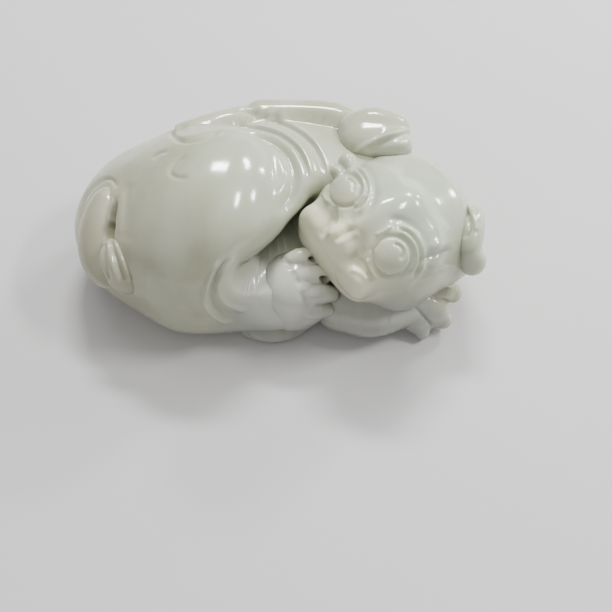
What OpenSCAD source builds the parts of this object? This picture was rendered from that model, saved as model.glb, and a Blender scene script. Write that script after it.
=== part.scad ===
// Recumbent beast carved from one pebble of pale jade. It lies on its left side
// with its back turned away, its feet gathered in front and its head turned
// round over them. Every node is a region of the one stone, and a region gives
// way to those listed before it, so that neighbours meet face to face.
// Millimetres, +Z up, +X towards the chest, -Y towards the feet.

/* [Torso] */
// Length of the trunk from rump to chest
torso_l = 54; // [45:0.5:65]
// Thickness of the trunk from back to belly
torso_w = 30; // [25:0.5:36]
// Height of the trunk
torso_h = 21; // [17.5:0.5:25.5]
// How far the back bows out of a straight line
torso_bow = 6; // [4:0.5:8]
// Depth taken off the underside to rest flat
rest_flat = 1.2; // [0.8:0.1:2]

/* [Haunches] */
// Length of the upper haunch from rump to knee
haunch_l = 28; // [23:0.5:34]
// Width of the upper haunch across the thigh
haunch_w = 26; // [21.5:0.5:31]
// Height of the upper haunch above the underside
haunch_h = 25.5; // [21:0.5:31]
// Length of the lower haunch, on the underside
lower_haunch_l = 24; // [20:0.5:29]
// Distance from the rump's end to the middle of both haunches
haunch_in = 19.44; // [16.2:0.54:22.68]

/* [Back] */
// Width of the raised ridge of the spine
ridge_w = 6; // [5:0.2:7.2]
// Thickness of the ridge of the spine
ridge_t = 4.2; // [3.4:0.2:5.2]
// Number of skin folds round the knee
fold_count = 3; // [2:1:4]
// Width of one skin fold
fold_w = 1.8; // [1.5:0.1:2.2]
// Space from one skin fold to the next
fold_gap = 1.7; // [1.4:0.1:2.1]

/* [Tail] */
// Width of the tail's band
tail_w = 6.6; // [5.4:0.2:8]
// Thickness of the tail's band
tail_t = 5; // [4:0.2:6]
// Length of the tuft on the tail
tuft_l = 10; // [8.2:0.2:12]
// Width of the tuft on the tail
tuft_w = 6.4; // [5.2:0.2:7.8]

/* [Legs] */
// Length of the upper hind foot from hock to toes
hind_foot_l = 19; // [15.5:0.5:23]
// Width of the upper hind paw
hind_paw_w = 11.5; // [9.5:0.5:14]
// Length of the upper foreleg
foreleg_l = 17; // [14:0.5:20.5]
// Width of the upper foreleg
foreleg_w = 10.5; // [8.5:0.5:12.5]
// Width of a toe
toe_w = 3.6; // [3:0.1:4.3]
// Length of a toe
toe_l = 5.6; // [4.6:0.1:6.8]
// Number of toes on a paw
toe_count = 4; // [3:1:4]

/* [Head] */
// Length of the skull from brow to nape
head_l = 20; // [16.5:0.5:24]
// Width of the skull across the cheeks
head_w = 23.5; // [19.5:0.5:28]
// Height of the skull from jaw to crown
head_h = 20; // [16.5:0.5:24]
// Way that the face looks, turned from +X
head_yaw = 214; // [206:1:220]
// Slope of the head towards its left cheek
head_roll = 8; // [4:1:12]
// Length of the muzzle in front of the eyes
muzzle_l = 9; // [7.5:0.2:10.8]
// Width of the muzzle across the lips
muzzle_w = 16.5; // [13.5:0.5:20]
// Height of the muzzle
muzzle_h = 8; // [6.6:0.2:9.6]
// Diameter of an eyeball
eye_d = 5.2; // [4.3:0.1:6.3]
// Distance between the middles of the eyes
eye_gap = 12; // [10:0.2:14.4]
// Length of an ear
ear_l = 11; // [9:0.2:13.4]
// Width of an ear
ear_w = 7; // [5.8:0.2:8.4]
// Thickness of an ear
ear_t = 5; // [4:0.2:6]

/* [Hidden] */
NODES = [
    "torso", "upper_haunch", "lower_haunch", "head", "muzzle", "lower_jaw", "nose",
    "upper_hind_foot", "upper_hind_toes", "lower_hind_foot", "upper_foreleg", "upper_fore_toes",
    "lower_foreleg", "nape_mane", "spine_ridge", "flank_folds", "tail", "tail_tuft",
    "right_eye", "left_eye", "right_brow", "left_brow", "right_lip_pad", "left_lip_pad",
    "right_ear", "left_ear", "right_cheek_tuft", "left_cheek_tuft"
];
up = [0, 0, 1];
right = -1;
left = 1;
jade_pale = [0.76, 0.78, 0.70];
jade_green = [0.71, 0.78, 0.70];
jade_warm = [0.79, 0.77, 0.66];
// middle of the finished stone seen from above, brought to the origin
stone_middle = [-0.2, 2.67, 0];
// bigger than the stone, for the block that cuts the underside
beyond = 60;

// ---- curves and surfaces ----
function unit(v) = v / norm(v);
function xyz(v) = [v[0], v[1], v[2]];
function turned(v, a) = [v.x * cos(a) - v.y * sin(a), v.x * sin(a) + v.y * cos(a), v.z];
function power(v, k) = sign(v) * pow(abs(v), k);
// smooth curve through a list of stations, t from 0 to 1
function through(p, t) = let (
    n = len(p) - 1,
    i = min(floor(t * n), n - 1),
    u = t * n - i,
    b = p[i],
    c = p[i + 1],
    a = i > 0 ? p[i - 1] : 2 * b - c,
    d = i + 2 <= n ? p[i + 2] : 2 * c - b
) 0.5 * (2 * b + (c - a) * u + (2 * a - 5 * b + 4 * c - d) * u * u + (3 * b - a - 3 * c + d) * u * u * u);
function heading(p, t) = unit(xyz(through(p, min(t + 0.02, 1)) - through(p, max(t - 0.02, 0))));
// a station is [x, y, z, half width, half height]; a form swells to them and closes at
// its ends, bluntly where blunt is large; square under 1 fills out its corners
function on_form(p, t, a, blunt = 2, square = 1, lean = up) = let (
    s = through(p, t),
    f = heading(p, t),
    side = unit(cross(lean, f)),
    top = cross(f, side),
    r = pow(max(0, 1 - pow(abs(2 * t - 1), blunt)), 1 / 2)
) xyz(s) + side * s[3] * r * power(cos(a), square) + top * s[4] * r * power(sin(a), square);

module form(p, blunt = 2, square = 1, lean = up, rings = 8, sides = 12) {
    cap = 0.01;
    ts = [for (i = [0 : rings]) cap + (1 - 2 * cap) * (1 - cos(180 * i / rings)) / 2];
    points = [for (t = ts) for (j = [0 : sides - 1])
        on_form(p, t, 360 * j / sides, blunt, square, lean)];
    walls = [for (i = [0 : rings - 1]) for (j = [0 : sides - 1])
        let (k = (j + 1) % sides, a = i * sides, b = a + sides)
        each [[a + j, b + j, a + k], [a + k, b + j, b + k]]];
    first = [for (j = [0 : sides - 1]) j];
    last = [for (j = [0 : sides - 1]) (rings + 1) * sides - 1 - j];
    polyhedron(points, [first, each walls, last]);
}

// a region keeps its own skin, gives way to those listed before it and rests flat
module region(name) {
    resize([0, 0, 0]) difference() {
        translate(-stone_middle) shape(name);
        translate(-stone_middle) for (i = [0 : search([name], NODES)[0] - 1]) shape(NODES[i]);
        floor_block();
    }
}
module floor_block() translate([-beyond, -beyond, -beyond]) cube([2 * beyond, 2 * beyond, beyond]);

// ---- torso ----
torso_z = torso_h / 2 - rest_flat;
// a place in the trunk's own block: along from rump to chest, out to the back, up to the top
function in_trunk(along, out, rise) = [
    (along - 0.55) * torso_l,
    2 + out * torso_w / 2,
    torso_z + rise * torso_h / 2
];
function torso_station(along, bow, w, h) =
    concat(in_trunk(along, 0, 0) + [0, bow * torso_bow, 0], [w * torso_w / 2, h * torso_h / 2]);
torso_path = [
    torso_station(0.00, 0.46, 1.02, 0.80),
    torso_station(0.20, 0.42, 1.00, 0.98),
    torso_station(0.40, 0.60, 1.03, 1.02),
    torso_station(0.60, 0.82, 0.98, 1.02),
    torso_station(0.80, 0.72, 0.88, 1.00),
    torso_station(1.00, 0.10, 0.72, 0.96)
];
torso_blunt = 3.4;
function on_torso(along, a) = on_form(torso_path, along, a, torso_blunt);
// the trunk's skin straight above a place
function above(x, y) = let (
    t = x / torso_l + 0.55,
    s = through(torso_path, t),
    r = sqrt(1 - pow(abs(2 * t - 1), torso_blunt)),
    reach = min(0.95, abs(y - s.y) / s[3] / r)
) s.z + s[4] * r * sqrt(1 - reach * reach);

// ---- haunches ----
thigh = in_trunk(0, -0.22, 0) + [haunch_in, 0, haunch_h / 2 - torso_z - rest_flat];
haunch_path = [
    concat(thigh + [-0.46 * haunch_l, 2.4, -2.6], [0.44 * haunch_w, 0.36 * haunch_h]),
    concat(thigh + [-0.18 * haunch_l, 0, -0.6], [0.51 * haunch_w, 0.49 * haunch_h]),
    concat(thigh + [0.12 * haunch_l, 2.2, 0.2], [0.42 * haunch_w, 0.50 * haunch_h]),
    concat(thigh + [0.43 * haunch_l, 6.8, 1.8], [0.24 * haunch_w, 0.34 * haunch_h])
];
knee = xyz(haunch_path[3]);
lower_thigh = in_trunk(0, -0.30, -0.62) + [haunch_in, 0, 0];
lower_haunch_path = [
    concat(lower_thigh - [lower_haunch_l / 2, -1.5, 0], [8, 4]),
    concat(lower_thigh + [lower_haunch_l / 2, -1, 0], [6, 3.6])
];

// ---- head ----
face = turned([1, 0, 0], head_yaw);
cheek = unit(cross(up, face) - up * tan(head_roll));
crown = cross(face, cheek);
skull = in_trunk(0.855, -0.30, 0.42) + [0, 0, (head_h - torso_h) / 2];
// a place in the head's own block: ahead to the face, out to the left cheek, up to the crown
function in_head(ahead, out, rise) =
    skull + face * ahead * head_l / 2 + cheek * out * head_w / 2 + crown * rise * head_h / 2;
function head_station(ahead, rise, w, h) = concat(in_head(ahead, 0, rise), [w * head_w / 2, h * head_h / 2]);
skull_path = [
    head_station(-1.00, -0.04, 0.86, 0.84),
    head_station(-0.33, 0.02, 1.02, 1.02),
    head_station(0.33, 0.02, 1.00, 1.00),
    head_station(1.00, -0.08, 0.86, 0.80)
];
lips = in_head(1.02, -0.06, 0.12) - face * 0.12 * muzzle_l;
muzzle_path = [
    concat(lips - face * 0.5 * muzzle_l, [0.48 * muzzle_w, 0.52 * muzzle_h]),
    concat(lips + face * 0.5 * muzzle_l, [0.50 * muzzle_w, 0.44 * muzzle_h])
];
chin = lips - crown * 0.62 * muzzle_h - face * 0.2 * muzzle_l;
jaw_path = [
    concat(chin - face * 0.4 * muzzle_l, [0.44 * muzzle_w, 0.36 * muzzle_h]),
    concat(chin + face * 0.46 * muzzle_l, [0.38 * muzzle_w, 0.30 * muzzle_h])
];
bridge = lips + crown * 0.46 * muzzle_h;
nose_path = [
    concat(bridge - face * 0.26 * muzzle_l, [0.14 * muzzle_w, 0.20 * muzzle_h]),
    concat(bridge + face * 0.35 * muzzle_l, [0.20 * muzzle_w, 0.23 * muzzle_h])
];
function eye_mid(side) = in_head(0.58 + 0.06 * side, -0.05, 0.66) + side * cheek * eye_gap / 2;
// bow of flesh round the back of an eye
function brow_path(side) = [for (a = [-75, -25, 25, 75])
    concat(eye_mid(side) + 0.80 * eye_d * (side * cheek * sin(a) - face * cos(a)) + crown * 0.05 * eye_d,
        [0.22 * eye_d, 0.24 * eye_d])];
function pad_mid(side) = lips + side * cheek * 0.36 * muzzle_w + crown * 0.34 * muzzle_h;
function pad_path(side) = [
    concat(pad_mid(side) - face * 0.24 * muzzle_l, [0.15 * muzzle_w, 0.20 * muzzle_h]),
    concat(pad_mid(side) + face * 0.36 * muzzle_l, [0.14 * muzzle_w, 0.20 * muzzle_h])
];
// the right ear is laid along the neck, the left one hangs over the nape
right_ear_root = in_head(-0.46, -1.05, 0.34);
left_ear_root = in_head(-0.70, 0.44, 0.22);
right_ear_path = [
    concat(right_ear_root + face * 0.42 * ear_l, [0.34 * ear_w, 0.42 * ear_t]),
    concat(right_ear_root - cheek * 0.14 * ear_w, [0.52 * ear_w, 0.52 * ear_t]),
    concat(right_ear_root - face * 0.46 * ear_l + cheek * 0.2 * ear_w, [0.42 * ear_w, 0.46 * ear_t])
];
left_ear_path = [
    concat(left_ear_root - cheek * 0.36 * ear_l, [0.32 * ear_w, 0.42 * ear_t]),
    concat(left_ear_root - face * 0.12 * ear_w + cheek * 0.1 * ear_l, [0.50 * ear_w, 0.52 * ear_t]),
    concat(left_ear_root + cheek * 0.62 * ear_l - crown * 0.34 * ear_l, [0.40 * ear_w, 0.44 * ear_t])
];
function whisker_root(side) = in_head(0.02, side * 0.78, 0.60);
function whisker_path(side) = [
    concat(whisker_root(side) + face * 0.12 * head_l, [0.07 * head_w, 0.08 * head_h]),
    concat(whisker_root(side) - face * 0.14 * head_l + side * cheek * 0.04 * head_w,
        [0.08 * head_w, 0.08 * head_h])
];
nape = in_head(-0.55, -0.12, -0.20);
nape_path = [
    concat(nape - cheek * 0.44 * head_w, [0.26 * head_l, 0.40 * head_h]),
    concat(nape, [0.33 * head_l, 0.46 * head_h]),
    concat(nape + cheek * 0.44 * head_w, [0.26 * head_l, 0.38 * head_h])
];

// ---- legs ----
// the hock lies a little behind the middle of the haunch
hock_back = 1.08;
hock = in_trunk(0, -0.76, -0.42) + [haunch_in - hock_back, 0, 0];
function to_toes(share, out, rise) = hock + [share * hind_foot_l, out, rise];
hind_paw = to_toes(0.72, -0.4, 3.6);
hind_foot_path = [
    concat(hock, [4.4, 4.6]),
    concat(to_toes(0.38, -0.2, 0.8), [4.8, 5]),
    concat(hind_paw, [0.51 * hind_paw_w, 0.54 * hind_paw_w]),
    concat(to_toes(1, -0.6, 3.4), [0.48 * hind_paw_w, 0.50 * hind_paw_w])
];
// toes stand in an arc over the front of the paw
function hind_toe_path(k) = let (
    a = 58 - 118 * k / (toe_count - 1),
    rim = hind_paw + 0.36 * hind_paw_w * [0.9, sin(a), cos(a)],
    way = unit([0.95, 0.6 * sin(a) - 0.25, 0.35 * cos(a)])
) [concat(rim, [toe_w / 2, toe_w / 2]), concat(rim + way * 0.62 * toe_l, [toe_w / 2, toe_w / 2])];
lower_foot_path = [
    concat([hock.x + 4, hock.y - 0.4, 1.6], [4.6, 2.8]),
    concat([hind_paw.x + 3, hind_paw.y - 1, 1.4], [4.8, 2.6])
];
elbow = in_trunk(0.645, -0.76, -0.46);
function to_wrist(share, out, rise) = elbow + [share * foreleg_l, out, rise];
wrist = to_wrist(0.86, -0.6, -0.8);
foreleg_path = [
    concat(elbow, [0.44 * foreleg_w, 5]),
    concat(to_wrist(0.38, -1, 0.2), [0.50 * foreleg_w, 5.4]),
    concat(to_wrist(0.72, -0.9, -0.4), [0.44 * foreleg_w, 4.6]),
    concat(to_wrist(1.04, -0.6, -0.8), [0.34 * foreleg_w, 3.6])
];
// toes fan out flat from the end of the paw
function fore_toe_path(k) = let (
    a = 22 - 86 * k / (toe_count - 1),
    way = unit([cos(a), sin(a), -0.06]),
    rim = wrist + [0.2, 1.4, 0.2 - 0.5 * k] + way * 0.22 * foreleg_w
) [concat(rim, [toe_w / 2, toe_w / 2]), concat(rim + way * 0.78 * toe_l, [toe_w / 2, toe_w / 2])];
lower_foreleg_path = [
    concat([elbow.x - 1, elbow.y + 2.4, 1.8], [5, 3.2]),
    concat([wrist.x, wrist.y + 2.8, 1.8], [4, 3])
];

// ---- back and tail ----
ridge_lean = [0, 0.7, 0.7];
function ridge_station(along, a, w) =
    concat(on_torso(along, a) - 0.16 * ridge_t * [0, 1, 1], [w * ridge_w / 2, ridge_t / 2]);
ridge_path = [
    ridge_station(0.24, 62, 1.00),
    ridge_station(0.38, 44, 0.96),
    ridge_station(0.53, 36, 0.92),
    ridge_station(0.68, 36, 0.92),
    ridge_station(0.80, 44, 0.86)
];
// fold k is a bow of skin round the knee, k steps out from it
function fold_path(k) = let (r = 0.32 * haunch_w + (k + 1) * fold_gap) [for (a = [88, 68, 48, 28, 10])
    let (x = knee.x - 8.2 + r * cos(a), y = knee.y - 3.6 + 1.04 * r * sin(a))
    [x, y, above(x, y) + 0.14 * fold_w, fold_w / 2, 0.6 * fold_w]];
rump = in_trunk(0, 0, 0);
tail_lean = [-0.5, 0, 0.86];
tail_path = [
    concat(rump + [5.6, 4.4, 6], [0.40 * tail_t, 0.44 * tail_w]),
    concat(rump + [2.2, 2.4, 3.2], [0.50 * tail_t, 0.50 * tail_w]),
    concat(rump + [1.6, -3.4, 0.6], [0.50 * tail_t, 0.50 * tail_w]),
    concat(rump + [4.4, -11, -1.6], [0.46 * tail_t, 0.46 * tail_w])
];
tail_end = xyz(tail_path[3]);
tuft_path = [
    concat(tail_end + [-0.02 * tuft_l, 0.62 * tuft_l, 0.16 * tuft_l], [0.46 * tuft_w, 0.56 * tail_t]),
    concat(tail_end + [0.32 * tuft_l, -0.22 * tuft_l, 0.02 * tuft_l], [0.42 * tuft_w, 0.48 * tail_t])
];

module eyeball(side) translate(eye_mid(side)) sphere(d = eye_d, $fn = 20);
// the whole form of each region, before it gives way
module shape(name) {
    if (name == "torso") form(torso_path, torso_blunt, rings = 18, sides = 24);
    if (name == "upper_haunch") form(haunch_path, 3.2, rings = 14, sides = 24);
    if (name == "lower_haunch") form(lower_haunch_path, 3);
    if (name == "head") form(skull_path, 2.8, 0.9, crown, rings = 14, sides = 24);
    if (name == "muzzle") form(muzzle_path, 5, 0.64, crown, sides = 20);
    if (name == "lower_jaw") form(jaw_path, 3.4, 0.8, crown, sides = 14);
    if (name == "nose") form(nose_path, 3, 0.8, crown, rings = 7);
    if (name == "upper_hind_foot") form(hind_foot_path, 4, rings = 10, sides = 16);
    if (name == "upper_hind_toes")
        for (k = [0 : toe_count - 1]) form(hind_toe_path(k), 2.6, rings = 6, sides = 10);
    if (name == "lower_hind_foot") form(lower_foot_path, 3);
    if (name == "upper_foreleg") form(foreleg_path, 3.4, rings = 10, sides = 16);
    if (name == "upper_fore_toes")
        for (k = [0 : toe_count - 1]) form(fore_toe_path(k), 2.6, rings = 6, sides = 10);
    if (name == "lower_foreleg") form(lower_foreleg_path, 3);
    if (name == "nape_mane") form(nape_path, 3, 1, crown, rings = 10, sides = 14);
    if (name == "spine_ridge") form(ridge_path, 5, 1, ridge_lean, rings = 14, sides = 12);
    if (name == "flank_folds")
        for (k = [0 : fold_count - 1]) form(fold_path(k), 3, rings = 10, sides = 8);
    if (name == "tail") form(tail_path, 4, 1, tail_lean, rings = 12, sides = 12);
    if (name == "tail_tuft") form(tuft_path, 2.6, rings = 8, sides = 12);
    if (name == "right_eye") eyeball(right);
    if (name == "left_eye") eyeball(left);
    if (name == "right_brow") form(brow_path(right), 3, 1, crown, rings = 8, sides = 8);
    if (name == "left_brow") form(brow_path(left), 3, 1, crown, rings = 8, sides = 8);
    if (name == "right_lip_pad") form(pad_path(right), 3, 0.8, crown, rings = 7, sides = 10);
    if (name == "left_lip_pad") form(pad_path(left), 3, 0.8, crown, rings = 7, sides = 10);
    if (name == "right_ear") form(right_ear_path, 3, 0.9, crown);
    if (name == "left_ear") form(left_ear_path, 3, 0.9, crown);
    if (name == "right_cheek_tuft") form(whisker_path(right), 2.6, 1, crown, rings = 7, sides = 10);
    if (name == "left_cheek_tuft") form(whisker_path(left), 2.6, 1, crown, rings = 7, sides = 10);
}

module torso() {
    color(jade_pale) difference() {
        translate(-stone_middle) shape("torso");
        floor_block();
    }
}
module upper_haunch() color(jade_green) region("upper_haunch");
module lower_haunch() color(jade_pale) region("lower_haunch");
module head() color(jade_green) region("head");
module muzzle() color(jade_warm) region("muzzle");
module lower_jaw() color(jade_warm) region("lower_jaw");
module nose() color(jade_warm) region("nose");
module upper_hind_foot() color(jade_pale) region("upper_hind_foot");
module upper_hind_toes() color(jade_pale) region("upper_hind_toes");
module lower_hind_foot() color(jade_pale) region("lower_hind_foot");
module upper_foreleg() color(jade_pale) region("upper_foreleg");
module upper_fore_toes() color(jade_pale) region("upper_fore_toes");
module lower_foreleg() color(jade_pale) region("lower_foreleg");
module nape_mane() color(jade_green) region("nape_mane");
module spine_ridge() color(jade_pale) region("spine_ridge");
module flank_folds() color(jade_pale) region("flank_folds");
module tail() color(jade_pale) region("tail");
module tail_tuft() color(jade_warm) region("tail_tuft");
module right_eye() color(jade_warm) region("right_eye");
module left_eye() color(jade_warm) region("left_eye");
module right_brow() color(jade_green) region("right_brow");
module left_brow() color(jade_green) region("left_brow");
module right_lip_pad() color(jade_warm) region("right_lip_pad");
module left_lip_pad() color(jade_warm) region("left_lip_pad");
module right_ear() color(jade_pale) region("right_ear");
module left_ear() color(jade_pale) region("left_ear");
module right_cheek_tuft() color(jade_green) region("right_cheek_tuft");
module left_cheek_tuft() color(jade_green) region("left_cheek_tuft");

torso();
upper_haunch();
lower_haunch();
head();
muzzle();
lower_jaw();
nose();
upper_hind_foot();
upper_hind_toes();
lower_hind_foot();
upper_foreleg();
upper_fore_toes();
lower_foreleg();
nape_mane();
spine_ridge();
flank_folds();
tail();
tail_tuft();
right_eye();
left_eye();
right_brow();
left_brow();
right_lip_pad();
left_lip_pad();
right_ear();
left_ear();
right_cheek_tuft();
left_cheek_tuft();
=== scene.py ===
"""Recumbent beast carved from one pebble of pale jade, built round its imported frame.

The stone lies on its side with its feet gathered and its head turned back over them.
Every piece is a closed skin worked out with numpy: rays are cast from a core line to
where a sum of rounded forms ends, or a profile is carried along a path, and cut lines
and raised lines then lift or lower the skin. Lengths are millimetres in the forms and
metres in the meshes.
"""

import logging
import math
from dataclasses import dataclass, field
from enum import Enum
from typing import Any, Callable, Sequence

import bpy
import numpy as np
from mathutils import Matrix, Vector


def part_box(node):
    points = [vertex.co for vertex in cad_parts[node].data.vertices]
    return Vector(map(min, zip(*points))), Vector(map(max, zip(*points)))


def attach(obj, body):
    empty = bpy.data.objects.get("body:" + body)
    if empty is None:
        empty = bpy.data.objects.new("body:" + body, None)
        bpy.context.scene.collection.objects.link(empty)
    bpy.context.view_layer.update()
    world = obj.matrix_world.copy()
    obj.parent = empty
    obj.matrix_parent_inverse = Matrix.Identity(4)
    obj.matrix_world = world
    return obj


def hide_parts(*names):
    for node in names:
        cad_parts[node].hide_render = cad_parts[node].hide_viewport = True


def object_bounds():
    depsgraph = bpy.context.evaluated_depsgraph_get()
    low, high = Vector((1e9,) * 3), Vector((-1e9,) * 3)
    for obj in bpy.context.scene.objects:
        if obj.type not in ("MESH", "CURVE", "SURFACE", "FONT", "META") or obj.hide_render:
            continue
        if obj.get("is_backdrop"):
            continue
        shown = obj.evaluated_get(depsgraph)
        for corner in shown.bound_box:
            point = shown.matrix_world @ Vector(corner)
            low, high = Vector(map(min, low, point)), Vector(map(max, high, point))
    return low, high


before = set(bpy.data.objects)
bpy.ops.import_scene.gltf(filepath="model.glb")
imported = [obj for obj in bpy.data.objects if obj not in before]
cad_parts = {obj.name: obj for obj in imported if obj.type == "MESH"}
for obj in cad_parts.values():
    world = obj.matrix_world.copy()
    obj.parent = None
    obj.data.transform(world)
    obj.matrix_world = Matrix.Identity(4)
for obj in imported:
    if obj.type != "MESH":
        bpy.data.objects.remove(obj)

MM = 0.001
# Where the stone is looked at from, in millimetres from the middle of its underside
SEEN_FROM = np.array([3.91, -82.14, 114.63])
# Pits drilled beside the chin, and the cleft by the tail as places with an inner and outer reach; round
# both the colour is darkened as painted shade in the hollows
PITS = ((4.9, -10.1, 12.0), (6.5, -12.9, 11.0))
CLEFT = (((-23.3, -4.4, 16.0), 0.4, 1.6), ((-23.5, -5.6, 15.4), 0.5, 1.8), ((-23.7, -7.1, 15.0), 0.5, 1.8))
Array = np.ndarray
Form = Callable[[Array], Array]
Lift = Callable[[Array], Array]
log = logging.getLogger("jade beast")


# ---- places ----------------------------------------------------------------------


def vec(*numbers: float) -> Array:
    """The numbers as a point or direction."""
    return np.array(numbers, float)


def unit(way: Array) -> Array:
    """The direction scaled to length one."""
    return way / np.linalg.norm(way, axis=-1, keepdims=True)


@dataclass(frozen=True)
class Box:
    """A box of the frame, in millimetres."""

    low: Array
    high: Array

    @classmethod
    def of(cls, node: str) -> "Box":
        """The box of one node of the frame."""
        low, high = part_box(node)
        return cls(np.array(low) / MM, np.array(high) / MM)

    @classmethod
    def whole(cls) -> "Box":
        """The box of the whole stone."""
        low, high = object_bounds()
        return cls(np.array(low) / MM, np.array(high) / MM)

    @property
    def middle(self) -> Array:
        """The middle of the box."""
        return (self.low + self.high) / 2

    @property
    def foot(self) -> Array:
        """The middle of the underside."""
        return self.middle * (1, 1, 0) + self.low * (0, 0, 1)


@dataclass(frozen=True)
class Axes:
    """Three directions at right angles from an origin, to place forms by."""

    origin: Array
    ahead: Array
    out: Array
    up: Array

    def local(self, points: Array) -> Array:
        """Points measured along these axes."""
        return (points - self.origin) @ np.stack([self.ahead, self.out, self.up]).T

    def world(self, spots: Array) -> Array:
        """Points measured along these axes, put back in the frame."""
        return np.asarray(spots, float) @ np.stack([self.ahead, self.out, self.up]) + self.origin


# ---- forms: negative inside, about the distance to the skin in millimetres -------------


def egg(
    points: Array,
    middle: Sequence[float],
    half: Sequence[float],
    turn: float = 0.0,
    blunt: float = 2.0,
) -> Array:
    """Ellipsoid, or a blunter egg.

    With q = (point - middle) / half and |q| = (sum of |q_i| ^ blunt) ^ (1 / blunt), the
    distance is about |q| (|q| - 1) / |q / half|.

    Args:
        points: Places to measure at.
        middle: Centre.
        half: Half sizes.
        turn: Turn about the third axis in degrees.
        blunt: 2 for an ellipsoid, more for a boxier egg.

    Returns:
        The distance at each place.
    """
    q = points - np.asarray(middle, float)
    if turn:
        c, s = math.cos(math.radians(turn)), math.sin(math.radians(turn))
        q = np.stack([q[..., 0] * c + q[..., 1] * s, q[..., 1] * c - q[..., 0] * s, q[..., 2]], -1)
    q = np.abs(q) / np.asarray(half, float) + 1e-9
    near = np.sum(q**blunt, -1) ** (1 / blunt)
    slope = np.linalg.norm(q / np.asarray(half, float), axis=-1) + 1e-9
    return near * (near - 1) / slope


def pebble(points: Array, rim: Array, middle: Array, rise: float, blunt: tuple[float, float]) -> Array:
    """Flat-lying pebble inside a closed rim seen from above.

    With r the distance from the middle over the rim's own on that side, and h the height
    above the middle over the rise (or over the middle's height, below it), the pebble is
    where r ^ blunt + |h| ^ blunt is under 1.

    Args:
        points: Places to measure at.
        rim: Distances from the middle to the rim, at equal turns from the first axis.
        middle: Centre of the rim.
        rise: Height of the top above the middle.
        blunt: Bluntness of the upper and of the lower half.

    Returns:
        The distance at each place.
    """
    q = points - middle
    turns = np.linspace(0, 2 * math.pi, len(rim) + 1)
    wrapped = np.concatenate([rim[-2:], rim, rim[:3]])
    spread = np.concatenate([turns[-3:-1] - 2 * math.pi, turns, turns[1:3] + 2 * math.pi])
    fine = np.linspace(0, 2 * math.pi, 241)
    reach = np.interp(np.arctan2(q[..., 1], q[..., 0]) % (2 * math.pi), fine, curve(wrapped, spread, fine))
    above = q[..., 2] > 0
    near = np.hypot(q[..., 0], q[..., 1]) / reach
    high = np.abs(q[..., 2]) / np.where(above, rise, middle[2])
    power = np.where(above, blunt[0], blunt[1])
    return ((near**power + high**power) ** (1 / power) - 1) * np.minimum(reach, 12)


def curve(values: Array, share: Array, at: Array) -> Array:
    """Smooth curve through values, a cubic whose slopes are those between neighbours."""
    slope = np.gradient(values, share)
    k = np.clip(np.searchsorted(share, at, side="right") - 1, 0, len(share) - 2)
    width = share[k + 1] - share[k]
    u = (at - share[k]) / width
    return (
        (2 * u**3 - 3 * u**2 + 1) * values[k]
        + (u**3 - 2 * u**2 + u) * width * slope[k]
        + (3 * u**2 - 2 * u**3) * values[k + 1]
        + (u**3 - u**2) * width * slope[k + 1]
    )


def route(spots: Sequence[Sequence[float]], count: int) -> Array:
    """Smooth route through spots, as count rows with every column carried along."""
    table = np.asarray(spots, float)
    share = np.linspace(0, 1, len(table))
    at = np.linspace(0, 1, count)
    return np.stack([curve(table[:, k], share, at) for k in range(table.shape[1])], -1)


def nearest(points: Array, line: Array, out: Array | None = None) -> tuple[Array, Array, Array]:
    """How far points are from a line of straight stretches.

    Args:
        points: Places to measure from.
        line: Rows that start with x, y and z.
        out: Way that is left out of the distance, as if the line were cut along it.

    Returns:
        The distance, the share of the line where it is, and how far along out the point is.
    """
    best = np.full(points.shape[:-1], 1e9)
    share = np.zeros(points.shape[:-1])
    above = np.zeros(points.shape[:-1])
    count = len(line) - 1
    for k in range(count):
        a, way = line[k, :3], line[k + 1, :3] - line[k, :3]
        flat = way if out is None else way - out * (way @ out)
        t = np.clip((points - a) @ flat / (flat @ flat + 1e-12), 0, 1)
        off = points - a - t[..., None] * way
        square = np.sum(off * off, -1)
        rise = 0 * square if out is None else off @ out
        gap = np.sqrt(np.maximum(square - rise * rise, 0))
        closer = gap < best
        best = np.where(closer, gap, best)
        share = np.where(closer, (k + t) / count, share)
        above = np.where(closer, rise, above)
    return best, share, above


def rope(points: Array, spots: Sequence[Sequence[float]], count: int = 12) -> Array:
    """Round rope through spots of x, y, z and radius."""
    line = route(spots, count)
    gap, share, _ = nearest(points, line)
    return gap - np.interp(share, np.linspace(0, 1, count), line[:, 3])


def trench(points: Array, spots: Sequence[Sequence[float]], out: Array, count: int = 12) -> Array:
    """Rope that also takes in everything outwards of it, to cut a trench with."""
    line = route(spots, count)
    gap, share, above = nearest(points, line, out)
    return np.hypot(gap, np.minimum(above, 0)) - np.interp(share, np.linspace(0, 1, count), line[:, 3])


def join(a: Array, b: Array, soft: Any) -> Array:
    """Union of two forms whose seam is filled over a width of soft."""
    h = np.maximum(soft - np.abs(a - b), 0) / soft
    return np.minimum(a, b) - h * h * soft / 4


def carve(a: Array, b: Array, soft: Any) -> Array:
    """First form with the second cut out of it, the edge rounded over a width of soft."""
    return -join(-a, b, soft)


def seated(form: Form, spots: Sequence[Sequence[float]], sunk: float) -> list[tuple[float, ...]]:
    """Spots moved along the way they are seen until they lie on a form, then sunk into it."""
    table = np.asarray(spots, float)
    out = unit(SEEN_FROM - table[:, :3])
    far = np.linspace(-8, 8, 641)
    inside = form(table[:, None, :3] + out[:, None] * far[:, None]) < 0
    last = np.where(inside.any(1), far[inside.shape[1] - 1 - inside[:, ::-1].argmax(1)], 0.0)
    table[:, :3] += out * (last - sunk)[:, None]
    return [tuple(row) for row in table]


def ease(values: Array, start: float, end: float) -> Array:
    """Smooth rise from 0 at start to 1 at end."""
    t = np.clip((values - start) / (end - start), 0, 1)
    return t * t * (3 - 2 * t)


# ---- lifts: lines cut into the skin or raised on it ----------------------------------


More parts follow.
